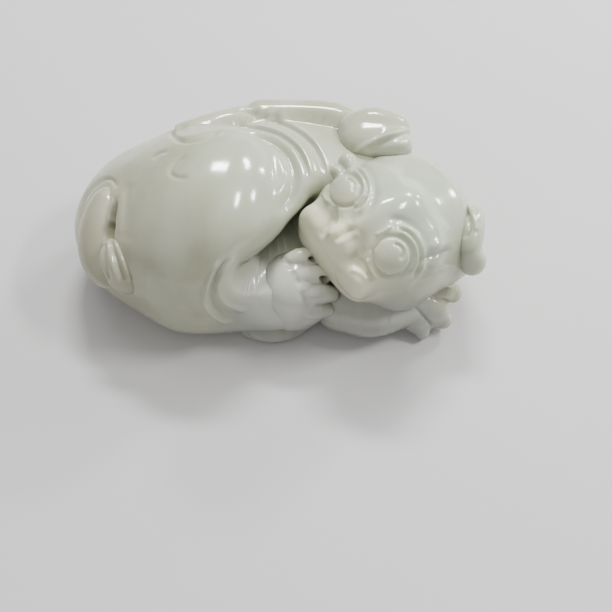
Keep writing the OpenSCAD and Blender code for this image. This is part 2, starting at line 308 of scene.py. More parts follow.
@dataclass(frozen=True)
class Stroke:
    """Line drawn on the skin, which rises by height or sinks where height is negative.

    It is cut along the way from the line to the place that the stone is looked at from,
    so only how it looks from there matters, not how deep its spots lie.
    """

    spots: Sequence[Sequence[float]]
    width: float
    height: float
    fade: float = 0.15
    count: int = 18
    window: float = 12.0

    def lift(self, points: Array) -> Array:
        """Height at each place: a bell across the line that fades at both ends."""
        line = route(self.spots, self.count)
        out = unit(SEEN_FROM - line[:, :3].mean(0))
        reach = 3 * self.width
        off = points - line[:, :3].mean(0)
        span = np.linalg.norm(line[:, :3] - line[:, :3].mean(0), axis=-1).max()
        deep = off @ out
        beside = np.sum(off * off, -1) - deep**2 < (span + reach) ** 2
        close = beside & (np.abs(deep) < span + self.window)
        rise = np.zeros(points.shape[:-1])
        gap, share, above = nearest(points[close], line, out)
        ends = ease(share, -1e-6, self.fade) * ease(1 - share, -1e-6, self.fade) if self.fade else 1
        there = 1 - ease(np.abs(above), self.window * 0.6, self.window)
        rise[close] = self.height * np.exp(-((gap / self.width) ** 2)) * ends * there
        return rise


def ring(
    middle: Sequence[float],
    radius: float,
    start: float,
    end: float,
    wide: float = 1.0,
) -> list[tuple[float, ...]]:
    """Spots round a middle from one clock angle to another, square to the way it is seen.

    Args:
        middle: Middle of the ring.
        radius: Its radius in millimetres.
        start: First angle in degrees, from the right and counter-clockwise.
        end: Last angle.
        wide: Width over height.

    Returns:
        The spots.
    """
    out = unit(SEEN_FROM - np.asarray(middle, float))
    right = unit(np.cross(vec(0, 0, 1), out))
    top = np.cross(out, right)
    turns = np.radians(np.linspace(start, end, 9))
    spots = np.asarray(middle, float) + radius * (
        wide * np.cos(turns)[:, None] * right + np.sin(turns)[:, None] * top
    )
    return [tuple(spot) for spot in spots]


def strokes(*drawn: Stroke) -> Lift:
    """The lines together, as one lift."""
    return lambda points: sum(stroke.lift(points) for stroke in drawn)


# ---- skins: closed grids --------------------------------------------------------------


@dataclass(frozen=True)
class Skin:
    """Closed surface: rows of points round a form, and a point at each end."""

    rows: Array
    first: Array
    last: Array

    def normals(self) -> Array:
        """Outward directions: the cross product of the steps along and round the grid."""
        along = np.gradient(self.rows, axis=0)
        round_it = np.roll(self.rows, -1, axis=1) - np.roll(self.rows, 1, axis=1)
        cross = np.cross(round_it, along)
        return cross / (np.linalg.norm(cross, axis=-1, keepdims=True) + 1e-12)

    def lifted(self, lift: Lift) -> "Skin":
        """The skin moved along its normals by the lift at each point."""
        side = self.normals()
        outward = np.sign(np.sum(side * (self.rows - self.rows.mean((0, 1))), -1).sum())
        moved = self.rows + side * outward * lift(self.rows)[..., None]
        return Skin(moved, self.first, self.last)

    def rested(self) -> "Skin":
        """The skin pressed flat where it would reach below the underside."""
        flat = [np.concatenate([p[..., :2], np.maximum(p[..., 2:], 0)], -1)
                for p in (self.rows, self.first, self.last)]
        return Skin(*flat)

    def mesh(self, name: str) -> bpy.types.Mesh:
        """The skin as a mesh in metres whose faces point outwards."""
        rows, columns = self.rows.shape[:2]
        points = np.vstack([self.rows.reshape(-1, 3), self.first, self.last]) * MM
        index = np.arange(rows * columns).reshape(rows, columns)
        beside = np.roll(index, -1, axis=1)
        quads = np.stack([index[:-1], beside[:-1], beside[1:], index[1:]], -1).reshape(-1, 4)
        start, end = rows * columns, rows * columns + 1
        fan_a = np.stack([np.full(columns, start), beside[0], index[0]], -1)
        fan_b = np.stack([np.full(columns, end), index[-1], beside[-1]], -1)
        a, b, c, d = (points[quads[:, k]] for k in range(4))
        volume = np.sum(np.cross(b - a, c - a) * a) + np.sum(np.cross(c - a, d - a) * a)
        if volume < 0:
            quads, fan_a, fan_b = quads[:, ::-1], fan_a[:, ::-1], fan_b[:, ::-1]
        mesh = bpy.data.meshes.new(name)
        mesh.from_pydata(points, [], quads.tolist() + fan_a.tolist() + fan_b.tolist())
        mesh.polygons.foreach_set("use_smooth", np.ones(len(mesh.polygons), bool))
        mesh.update()
        return mesh


@dataclass(frozen=True)
class Fan:
    """Rays from a core line, one row of rays for each step from its start to its end.

    The core point moves along the line while the ray swings from straight back, through
    square to the line, to straight ahead.
    """

    start: Array
    end: Array
    rows: int
    columns: int
    reach: float
    seam: Array = field(default_factory=lambda: vec(0, 0, -1))
    crowd: float = 0.35

    def rays(self, share: Array, columns: int) -> tuple[Array, Array]:
        """Origins and directions of the rays at shares of the way, round in columns."""
        axis = unit(self.end - self.start) if np.any(self.end - self.start) else vec(1, 0, 0)
        side = unit(self.seam - axis * (self.seam @ axis))
        other = np.cross(axis, side)
        v = np.arange(columns) / columns * 2 * math.pi
        angle = v + self.crowd * np.sin(v)
        spoke = np.cos(angle)[:, None] * side + np.sin(angle)[:, None] * other
        swing = math.pi * share[:, None, None]
        way = -np.cos(swing) * axis + np.sin(swing) * spoke
        origin = self.start + share[:, None, None] * (self.end - self.start) + 0 * way
        return origin, way

    def hits(self, form: Form, origin: Array, way: Array) -> Array:
        """Outermost place on each ray where the form begins, by steps and then halving."""
        shape = origin.shape[:-1]
        origin, way = origin.reshape(-1, 3), way.reshape(-1, 3)
        steps = 44
        low = np.zeros(len(origin))
        high = np.full(len(origin), float(self.reach))
        left = np.arange(len(origin))
        for k in range(1, steps):
            far = self.reach * (1 - k / steps)
            inside = form(origin[left] + way[left] * far) < 0
            low[left[inside]] = far
            high[left[inside]] = far + self.reach / steps
            high[left[~inside]] = far
            left = left[~inside]
            if not len(left):
                break
        for _ in range(11):
            middle = (low + high) / 2
            inside = form(origin + way * middle[:, None]) < 0
            low = np.where(inside, middle, low)
            high = np.where(inside, high, middle)
        return (origin + way * low[:, None]).reshape(*shape, 3)

    def skin(self, form: Form) -> Skin:
        """Skin of the form, its rows spread evenly over the surface."""
        trial = np.linspace(0, 1, 50)
        rough = self.hits(form, *self.rays(trial, 20))
        step = np.linalg.norm(np.diff(rough, axis=0), axis=-1).mean(1)
        travelled = np.concatenate([[0], np.cumsum(np.minimum(step, 4 * np.median(step)))])
        even = np.interp(np.linspace(0, travelled[-1], self.rows + 2), travelled, trial)
        origin, way = self.rays(even, self.columns)
        rows = self.hits(form, origin[1:-1], way[1:-1])
        ends = self.hits(form, origin[[0, -1], 0], way[[0, -1], 0])
        return Skin(rows, ends[0], ends[1])


def carried(
    spots: Sequence[Sequence[float]],
    rows: int,
    columns: int,
    lean: Array,
    blunt: float = 3.0,
    square: float = 1.0,
) -> Skin:
    """Oval profile carried along a smooth path and closed at both ends.

    The half sizes at the share t are the path's own times the root of 1 - |2t - 1| ^ blunt,
    and the oval is x = cos(a) ^ square, y = sin(a) ^ square.

    Args:
        spots: Rows of x, y, z, half width and half height.
        rows: Sections along the path.
        columns: Points round a section.
        lean: Direction that the profile's height leans to.
        blunt: How squarely the ends close.
        square: Below 1 the oval fills out its corners.

    Returns:
        The closed skin.
    """
    fine = route(spots, 400)
    t = (1 - np.cos(math.pi * np.linspace(0.004, 0.996, rows))) / 2
    path = np.stack([np.interp(t, np.linspace(0, 1, 400), fine[:, k]) for k in range(5)], -1)
    ahead = unit(np.gradient(path[:, :3], t, axis=0))
    side = unit(np.cross(lean, ahead))
    top = np.cross(ahead, side)
    close = np.sqrt(1 - np.abs(2 * t - 1) ** blunt)
    a = np.linspace(0, 2 * math.pi, columns, endpoint=False)
    across = np.sign(np.cos(a)) * np.abs(np.cos(a)) ** square
    along = np.sign(np.sin(a)) * np.abs(np.sin(a)) ** square
    wide = (path[:, 3] * close)[:, None, None] * across[None, :, None] * side[:, None]
    high = (path[:, 4] * close)[:, None, None] * along[None, :, None] * top[:, None]
    return Skin(path[:, None, :3] + wide + high, fine[0, :3], fine[-1, :3])


# ---- finishes -------------------------------------------------------------------------


class Slot(Enum):
    """Finishes that the record names."""

    PALE = "jade_pale"
    GREEN = "jade_green"
    WARM = "jade_warm"
    GREY = "jade_grey"


class Number:
    """A value in a material's nodes, on which sums are written as on a number."""

    def __init__(self, bench: "Bench", socket: Any) -> None:
        """Keep the socket and the bench that adds nodes to it."""
        self.bench, self.socket = bench, socket

    def _sum(self, kind: str, a: Any, b: Any = 0.0) -> "Number":
        """One Math node on two values."""
        return Number(self.bench, self.bench.node("ShaderNodeMath", {"operation": kind}, a, b).outputs[0])

    def __add__(self, other: Any) -> "Number":
        """Sum."""
        return self._sum("ADD", self, other)

    __radd__ = __add__

    def __sub__(self, other: Any) -> "Number":
        """Difference."""
        return self._sum("SUBTRACT", self, other)

    def __rsub__(self, other: Any) -> "Number":
        """Difference from a number."""
        return self._sum("SUBTRACT", other, self)

    def __mul__(self, other: Any) -> "Number":
        """Product."""
        return self._sum("MULTIPLY", self, other)

    __rmul__ = __mul__

    def band(self, low: float, high: float) -> "Number":
        """Smooth rise from 0 at low to 1 at high."""
        made = self.bench.node(
            "ShaderNodeMapRange", {"interpolation_type": "SMOOTHSTEP"}, self, low, high, 0.0, 1.0
        )
        return Number(self.bench, made.outputs[0])


class Bench:
    """The node tree of one material, with a short way to add nodes to it."""

    def __init__(self, name: str) -> None:
        """Start an empty material with a Principled shader."""
        self.material = bpy.data.materials.new(name)
        self.material.use_nodes = True
        self.tree = self.material.node_tree
        self.shader = self.tree.nodes["Principled BSDF"]
        self.place = self.node("ShaderNodeTexCoord", {}).outputs["Object"]

    def node(self, kind: str, settings: dict[str, Any], *inputs: Any, **named: Any) -> Any:
        """Add a node.

        Args:
            kind: The node's type.
            settings: Its own settings, made before its inputs.
            inputs: Values or links of its sockets in order.
            named: Values or links of its sockets by name, spaces as underscores.

        Returns:
            The node.
        """
        made = self.tree.nodes.new(kind)
        for key, value in settings.items():
            setattr(made, key, value)
        given = dict(enumerate(inputs)) | {key.replace("_", " "): v for key, v in named.items()}
        for key, value in given.items():
            self.feed(made.inputs[key], value)
        return made

    def feed(self, socket: Any, value: Any) -> None:
        """Link a value to a socket, or set it there."""
        if isinstance(value, Number):
            value = value.socket
        if isinstance(value, bpy.types.NodeSocket):
            self.tree.links.new(value, socket)
        else:
            socket.default_value = value

    def noise(self, scale: float, detail: float, roughness: float = 0.5, warp: float = 0.0) -> Number:
        """Cloudy noise over the piece, scale in cells to the metre."""
        made = self.node(
            "ShaderNodeTexNoise", {}, Vector=self.place, Scale=scale, Detail=detail,
            Roughness=roughness, Distortion=warp,
        )
        return Number(self, made.outputs["Fac"])

    def near(self, spot: Array, inner: float, outer: float) -> Number:
        """1 within inner millimetres of a spot, falling to 0 at outer."""
        made = self.node("ShaderNodeVectorMath", {"operation": "DISTANCE"}, self.place, tuple(spot * MM))
        return 1 - Number(self, made.outputs["Value"]).band(inner * MM, outer * MM)

    def mix(self, share: Any, a: Any, b: Any) -> Any:
        """Colour between two colours."""
        made = self.node("ShaderNodeMix", {"data_type": "RGBA"})
        self.feed(made.inputs["Factor"], share)
        self.feed(made.inputs["A"], a)
        self.feed(made.inputs["B"], b)
        return made.outputs["Result"]


@dataclass(frozen=True)
class Jade:
    """Nephrite polished to a soft gloss: pale, faintly clouded, light passing a little way in."""

    slot: Slot
    pale: tuple[float, float, float, float] = (0.445, 0.462, 0.36, 1)
    cloud: tuple[float, float, float, float] = (0.362, 0.365, 0.255, 1)
    green: tuple[float, float, float, float] = (0.37, 0.45, 0.36, 1)
    # warm tint of the lips and tail tuft, made much lighter than the stone: partly their own colour,
    # partly painted light
    warm: tuple[float, float, float, float] = (0.80, 0.79, 0.58, 1)
    # painted light: a paler colour that lifts the shade the head casts on the paw
    paw_light_lift: tuple[float, float, float, float] = (0.57, 0.58, 0.51, 1)
    grey: tuple[float, float, float, float] = (0.32, 0.33, 0.30, 1)
    shade: tuple[float, float, float, float] = (0.32, 0.30, 0.22, 1)
    # painted shade for the cleft by the tail and the drilled pits, darkest where shade falls deep in them
    hollow_shade: tuple[float, float, float, float] = (0.10, 0.095, 0.055, 1)
    gloss: float = 0.09
    depth: float = 0.0010
    glow: float = 0.55

    def made(self, stone: Box) -> bpy.types.Material:
        """The material, its patches placed in the stone's own box.

        Args:
            stone: The whole stone's box.

        Returns:
            The material.
        """
        bench = Bench(self.slot.value)
        foot = stone.foot
        clouds = bench.noise(75, 4, 0.55, 0.6)
        fleck = bench.noise(520, 3, 0.6)
        veil = bench.noise(190, 5, 0.62, 1.4)
        colour = bench.mix(clouds.band(0.36, 0.66) * 0.9, self.pale, self.cloud)
        colour = bench.mix(veil.band(0.55, 0.72) * 0.22, colour, self.grey)
        crown = bench.near(foot + vec(19, -7, 21), 3, 15) * (0.35 + 0.65 * clouds)
        thigh = bench.near(foot + vec(-3, -2, 22), 2, 14) * (0.25 + 0.6 * veil)
        colour = bench.mix((crown + thigh * 0.7) * 0.85, colour, self.green)
        # warm lips: partly their own tint, partly painted light lifting the shade where the muzzle faces
        # down
        lips_tint_and_lift = bench.near(foot + vec(8, -13, 16), 4, 12)
        tuft = bench.near(foot + vec(-24, -6, 10), 3, 10)
        colour = bench.mix(lips_tint_and_lift * 0.85 + tuft * 0.3, colour, self.warm)
        feet = bench.near(foot + vec(2, -18, 3), 7, 15) + bench.near(foot + vec(16, -19, 2), 7, 13)
        colour = bench.mix(feet.band(0.1, 1.0) * 0.8, colour, self.grey)
        # painted light on the paw, lightening it where the head shades it
        paw_lift_mask = bench.near(foot + vec(1.0, -13, 10), 3, 9)
        colour = bench.mix(paw_lift_mask * 0.85, colour, self.paw_light_lift)
        # painted shade darkening the rump's end
        rump = bench.near(foot + vec(-30, -8, 9), 4, 20)
        colour = bench.mix(rump * 0.6, colour, self.shade)
        # painted shade down the cleft beside the tail
        for place, inner, outer in CLEFT:
            colour = bench.mix(bench.near(foot + vec(*place), inner, outer) * 0.5, colour, self.hollow_shade)
        # painted shade inside the drilled pits
        for pit in PITS:
            colour = bench.mix(bench.near(foot + vec(*pit), 0.5, 0.95) * 0.7, colour, self.hollow_shade)
        bench.feed(bench.shader.inputs["Base Color"], colour)
        bench.feed(bench.shader.inputs["Roughness"], self.gloss + 0.05 * fleck + 0.06 * veil)
        waves = bench.noise(330, 2, 0.5)
        grain = bench.node(
            "ShaderNodeBump", {}, Strength=0.08, Distance=0.00012, Height=waves + 0.25 * fleck
        )
        bench.feed(bench.shader.inputs["Normal"], grain.outputs[0])
        for name, value in {
            "Subsurface Weight": self.glow,
            "Subsurface Scale": self.depth,
            "Subsurface Radius": (1.0, 0.95, 0.62),
            "IOR": 1.6,
        }.items():
            bench.shader.inputs[name].default_value = value
        return bench.material


# ---- pieces ---------------------------------------------------------------------------


@dataclass
class Carving:
    """What every part of the stone shares: its box, and how a skin becomes a piece."""

    stone: Box
    finishes: dict[Slot, bpy.types.Material]

    def piece(self, name: str, skin: Skin, slot: Slot, nodes: Sequence[str] = ()) -> bpy.types.Object:
        """Put a skin in the scene.

        Args:
            name: The piece's name.
            skin: Its surface.
            slot: The record's finish.
            nodes: Nodes of the frame that it stands for.

        Returns:
            The object, riding on the stone.
        """
        thing = bpy.data.objects.new(name, skin.mesh(name))
        bpy.context.scene.collection.objects.link(thing)
        thing.data.materials.append(self.finishes[slot])
        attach(thing, "root")
        if nodes:
            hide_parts(*nodes)
        log.info("%s: %d faces", name, len(thing.data.polygons))
        return thing


@dataclass
class Trunk(Carving):
    """Trunk, haunch and hock in one skin, with the knee's edge, folds and the spine's ridge."""

    knee: tuple[float, float] = (-6.3, -1.2)
    dome_edge: float = 8.0
    fold_reach: tuple[float, ...] = (10.4, 12.9)
    rim: tuple[float, ...] = (
        26.5, 26.0, 24.3, 21.0, 19.0, 17.2, 16.3, 15.4, 15.3, 16.9, 20.6, 24.9,
        27.4, 28.0, 26.2, 22.0, 19.5, 18.5, 17.6, 16.0, 15.0, 16.0, 20.0, 24.0,
    )

    def trunk(self, p: Array) -> Array:
        """Trunk lying on its side, inside its rim."""
        return pebble(p, np.array(self.rim), vec(-3, 1.5, 9.2), 10.5, (2.2, 3.2))

    def haunch(self, p: Array) -> Array:
        """Upper haunch, an egg from the rump to the knee."""
        return egg(p, (-8.9, -3.2, 9.3), (10.8, 14.6, 15.1), -14, 2.2)

    def ridge(self, p: Array) -> Array:
        """Ridge of the spine in three tongues, each starting from under the next."""
        tongues = (
            [(-14.8, 8.4, 17.6, 1.8), (-12.4, 9.0, 17.8, 2.0), (-9.4, 10.3, 17.6, 2.2),
                (-6.4, 11.5, 17.0, 2.4), (-4.0, 12.3, 16.4, 2.3)],
            [(-5.7, 12.4, 16.3, 2.5), (0.0, 12.9, 16.4, 2.8)],
            [(-2.8, 13.1, 16.3, 2.9), (4.0, 12.9, 16.3, 3.0), (8.5, 12.2, 16.3, 3.0),
                (11.4, 10.6, 16.2, 2.4)],
        )
        parts = [rope(p, tongue, 9) for tongue in tongues]
        return join(join(parts[0], parts[1], 0.3), parts[2], 0.3)

    def form(self, points: Array) -> Array:
        """Trunk and haunch joined softly at the rump and crisply at the knee, less the pocket."""
        p = points - self.stone.foot
        soft = 7.0 - 5.6 * ease(p[..., 0], -17, -5)
        body = join(self.trunk(p), self.haunch(p), soft)
        body = join(body, self.ridge(p), 0.5)
        foot = rope(p, [(-7.6, -12.4, 4.6, 4.4), (-2.5, -13.0, 5.6, 4.6), (3.0, -12.8, 6.6, 4.8)], 9)
        bare = trench(p, [
            (3.9, -1.4, 10.5, 1.9), (2.0, -4.4, 9.0, 2.5), (-0.6, -7.2, 8.4, 2.4), (-3.4, -9.8, 8.6, 2.0),
            (-5.6, -11.4, 9.6, 1.5),
        ], unit(vec(0.30, -0.42, 0.85)))
        body = carve(body, bare, 3.6)
        body = join(body, foot, 1.4)
        ledge = egg(p, (-1.2, -12.2, 1.0), (6.6, 5.3, 1.9))
        return join(body, ledge, 0.3)

    def folds(self, p: Array) -> Array:
        """Skin folds round the knee, cut where the distance from the knee is a fold's reach."""
        across, along = p[..., 0] - self.knee[0], (p[..., 1] - self.knee[1]) / 1.02
        reach = np.hypot(across, along)
        angle = np.degrees(np.arctan2(along, across))
        there = ease(angle, -8, 26) * ease(-angle, -102, -70) * ease(p[..., 2], 10, 13)
        rise = np.zeros(reach.shape)
        for k in self.fold_reach:
            rise -= 0.36 * np.exp(-(((reach - k) / 0.26) ** 2))
            rise -= 0.20 * np.exp(-(((reach - k) / 0.8) ** 2))
            rise += 0.24 * np.exp(-(((reach - k - 0.55) / 0.3) ** 2))
        edge = ease(angle, -44, -18) * ease(-angle, -122, -92) * ease(p[..., 2], 10, 13)
        rise = rise * there - 0.85 * np.exp(-(((reach - self.dome_edge - 0.5) / 0.8) ** 2)) * edge
        return rise + 0.25 * np.exp(-(((reach - self.dome_edge + 1.2) / 1.0) ** 2)) * edge

    def lines(self) -> Lift:
        """Lines cut into the skin: the tail's arch, scrolls, the hock's crescents."""
        arch = [(-29.4, -2.6, 11), (-29.2, 0.0, 12.5), (-27.9, 1.8, 13.6), (-26.0, 2.8, 14.4),
            (-24.6, 2.2, 14.7), (-23.9, 0.6, 14.6)]
        scroll = [(-12.6, 0.9, 22.0), (-14.4, -0.3, 21.3), (-14.9, -1.9, 21.3), (-13.7, -3.3, 21.9),
            (-12.0, -3.8, 22.6)]
        curl = [(-18.2, 2.4, 19.2), (-17.4, 3.6, 19.0), (-16.0, 3.7, 19.4)]
        outer = [(-7.6, -10.9, 13), (-9.3, -12.4, 12), (-10.4, -14.6, 9.5), (-10.3, -15.6, 7.5),
            (-8.6, -15.9, 5), (-6.6, -15.5, 3.5)]
        inner = [(-6.0, -10.0, 12.5), (-7.9, -11.8, 11), (-8.6, -13.4, 9.5), (-7.9, -14.6, 7.8),
            (-6.0, -14.8, 6.2), (-4.6, -14.6, 5.6)]
        between = [(-6.8, -10.4, 13), (-8.6, -12.2, 11.4), (-9.5, -14.2, 9.4), (-9.0, -15.1, 7.4),
            (-7.4, -15.4, 5.4)]
        return strokes(
            Stroke([(-24.0, 0.0, 14.2), (-24.7, -1.8, 12.5), (-25.3, -3.6, 10.4),
                (-25.2, -5.6, 9.4)], 0.36, -1.7, 0.45),
            Stroke([(-25.0, -2.6, 11.6), (-25.5, -4.2, 10), (-25.2, -5.8, 9.2)], 0.46, -1.8, 0.3),
            Stroke(arch, 0.26, -0.40), Stroke(scroll, 0.28, -0.22), Stroke(curl, 0.25, -0.16),
            Stroke(outer, 0.26, 0.46), Stroke(inner, 0.24, 0.42), Stroke(between, 0.34, -0.5),
            Stroke([(-15.7, 12.2, 17.0), (-16.3, 10.9, 17.0), (-15.9, 8.7, 17.5), (-14.3, 7.2, 18.0),
                (-12.2, 7.5, 18.0), (-10.1, 8.4, 18.0), (-8.3, 9.3, 18.0)], 0.32, -0.55, 0.2),
            Stroke([(-14.9, 10.2, 17.0), (-13.1, 10.5, 17.5), (-10.9, 10.4, 18.0),
                (-8.3, 10.8, 18.0)], 0.7, 0.35, 0.3),
            Stroke([(-23.1, 0.4, 14.6), (-23.4, -2.2, 12.6), (-23.6, -5.0, 11)], 0.35, 0.09),
            Stroke([(-22.1, 1.6, 15.5), (-22.3, -2.6, 13), (-22.4, -6.6, 11)], 0.9, -0.16),
        )

    def build(self) -> None:
        """Make the skin and its cut lines."""
        foot = self.stone.foot
        skin = Fan(foot + vec(-17, 0.5, 8.5), foot + vec(14, 2, 9.0), 300, 330, 34).skin(self.form)
        lines = self.lines()
        skin = skin.lifted(lambda x: self.folds(x - foot) + lines(x - foot)).rested()
        self.piece("body", skin, Slot.PALE, [
            "torso", "upper_haunch", "lower_haunch", "spine_ridge", "flank_folds", "lower_hind_foot",
        ])


@dataclass
class Tail(Carving):
    """Tail laid round the rump, with its tuft against the haunch."""

    def build(self) -> None:
        """Make the band and the tuft, both seated on the rump."""
        foot = self.stone.foot
        rump = Trunk(self.stone, self.finishes).form
        laid = seated(lambda x: rump(x + foot), [
            (-25.1, 1.3, 14.2, 1.5, 0.9), (-26.4, 0.2, 12.6, 2.3, 1.1), (-27.6, -1.9, 10.6, 2.7, 1.2),
            (-28.0, -4.6, 9.2, 2.8, 1.2), (-27.2, -7.4, 8.2, 2.7, 1.2), (-25.4, -9.8, 7.4, 2.2, 1.0),
            (-23.6, -11.2, 6.9, 1.1, 0.6),
        ], 0.62)
        band = carried(laid, 200, 120, vec(-0.55, -0.15, 0.8), 6)
        band = Skin(band.rows + foot, band.first + foot, band.last + foot)
        self.piece("tail", band.rested(), Slot.PALE, ["tail"])
        laid = seated(lambda x: rump(x + foot), [
            (-25.2, -5.0, 9.9, 1.3, 0.9), (-24.6, -7.0, 9.4, 2.0, 1.3), (-23.7, -9.2, 8.8, 2.2, 1.5),
            (-22.5, -11.4, 8.0, 2.1, 1.4), (-21.6, -13.0, 7.4, 1.4, 1.0),
        ], 0.45)
        tuft = carried(laid, 160, 120, vec(-0.3, -0.3, 0.85), 4.0, 0.8)
        strands = strokes(
            Stroke([(-25.8, -5.6, 10), (-25.8, -8.2, 9), (-24.8, -11.4, 8)], 0.3, -0.28, 0.1),
            Stroke([(-25.0, -5.2, 10), (-24.0, -8.2, 9.4), (-22.4, -12.0, 8.6)], 0.34, -0.34, 0.1),
            Stroke([(-25.3, -5.6, 10), (-24.7, -8.2, 9.4), (-23.4, -12.0, 8.2)], 0.4, 0.24, 0.1),
            Stroke([(-24.5, -5.2, 10), (-23.3, -7.8, 9.4), (-21.6, -11.6, 8.2)], 0.4, 0.24, 0.1),
        )
        tuft = Skin(tuft.rows + foot, tuft.first + foot, tuft.last + foot)
        tuft = tuft.lifted(lambda x: strands(x - foot))
        self.piece("tail_tuft", tuft.rested(), Slot.WARM, ["tail_tuft"])


@dataclass
class Paws(Carving):
    """Hind foot drawn up under the chin, and the forelegs folded below the head."""

    toes: tuple[tuple[tuple[float, ...], ...], ...] = (
        ((1.6, -10.4, 11.6, 1.35), (3.2, -10.0, 12.1, 1.5), (4.9, -9.6, 11.8, 1.35)),
        ((2.9, -12.9, 11.4, 1.4), (4.6, -12.5, 11.4, 1.55), (6.3, -12.1, 10.8, 1.35)),
        ((3.9, -14.8, 10.0, 1.4), (5.7, -14.5, 9.7, 1.5), (7.5, -13.9, 8.7, 1.25)),
        ((3.3, -16.0, 8.0, 1.3), (5.2, -16.0, 7.7, 1.4), (7.0, -15.4, 6.9, 1.1)),
    )

    def hind_form(self, points: Array) -> Array:
        """Paw with four toes; the two pits beside the chin are cut into its skin afterwards, in build."""
        p = points - self.stone.foot
        foot = egg(p, (2.1, -12.2, 6.6), (5.0, 5.5, 6.1), 0, 2.2)
        for toe in self.toes:
            foot = join(foot, rope(p, toe, 6), 0.15)
        return foot

    def fore_form(self, points: Array) -> Array:
        """Foreleg folded under the cheek, with toes fanned at its end."""
        p = points - self.stone.foot
        leg = rope(p, [(9.4, -12.6, 4.4, 4.4), (13.5, -13.2, 4.9, 5.0), (17.6, -12.6, 4.2, 4.1),
            (21, -12.2, 3.6, 3.2)], 12)
        leg = join(leg, egg(p, (21.6, -12.6, 2.8), (3.6, 3.5, 3.0)), 1.0)
        for toe in (
            [(21.6, -10.8, 4.4, 2.0), (24.0, -10.6, 4.5, 2.1), (25.9, -10.6, 3.9, 1.5)],
            [(21.4, -12.8, 3.4, 2.1), (23.4, -13.6, 2.9, 2.0), (24.4, -14.3, 2.2, 1.4)],
            [(19.6, -13.8, 2.6, 1.9), (20.8, -15.2, 2.0, 1.7), (21.3, -16.0, 1.5, 1.1)],
        ):
            leg = join(leg, rope(p, toe, 8), 0.5)
        return leg

    def build(self) -> None:
        """Make the legs."""
        foot = self.stone.foot
        hind = Fan(foot + vec(0.6, -12.6, 6.0), foot + vec(4.2, -12.8, 6.6), 290, 330, 11, crowd=0.4)
        creases = strokes(
            Stroke([(1.0, -9.6, 12.6), (0.8, -10.7, 12.8), (1.5, -11.8, 13),
                (2.3, -12.3, 13)], 0.42, -0.26, 0.3),
            Stroke([(2.2, -12.5, 13), (2.4, -13.8, 12.8), (3.3, -14.9, 12)], 0.42, -0.30, 0.3),
            Stroke([(3.3, -15.0, 11.6), (3.6, -16.0, 10.6), (4.4, -16.9, 9.4)], 0.42, -0.26, 0.3),
            *(Stroke([pit, tuple(np.array(pit) + (0.05, 0, 0))], 0.42, -1.6, 0, 2) for pit in PITS),
        )
        skin = hind.skin(self.hind_form).lifted(lambda x: creases(x - foot))
        self.piece("hind_paw", skin.rested(), Slot.GREY, ["upper_hind_foot", "upper_hind_toes"])
        fore = Fan(foot + vec(9.4, -12.8, 4), foot + vec(22, -12.2, 3.4), 260, 220, 10, crowd=0.3)
        creases = strokes(
            Stroke([(20.6, -12.2, 7), (22.8, -12.6, 6), (25.4, -12.9, 4.4)], 0.3, -0.35),
            Stroke([(19.2, -13.6, 6), (21.0, -14.8, 4.6), (22.8, -16.0, 2.6)], 0.3, -0.35),
        )
        skin = fore.skin(self.fore_form).lifted(lambda x: creases(x - foot))
        self.piece("foreleg", skin.rested(), Slot.GREY, [
            "upper_foreleg", "upper_fore_toes", "lower_foreleg",
        ])


@dataclass(frozen=True)
class Eye:
    """Eye by the head's own axes: its middle, the way it looks and the mound it stands on."""

    middle: Array
    out: Array
    mound: float


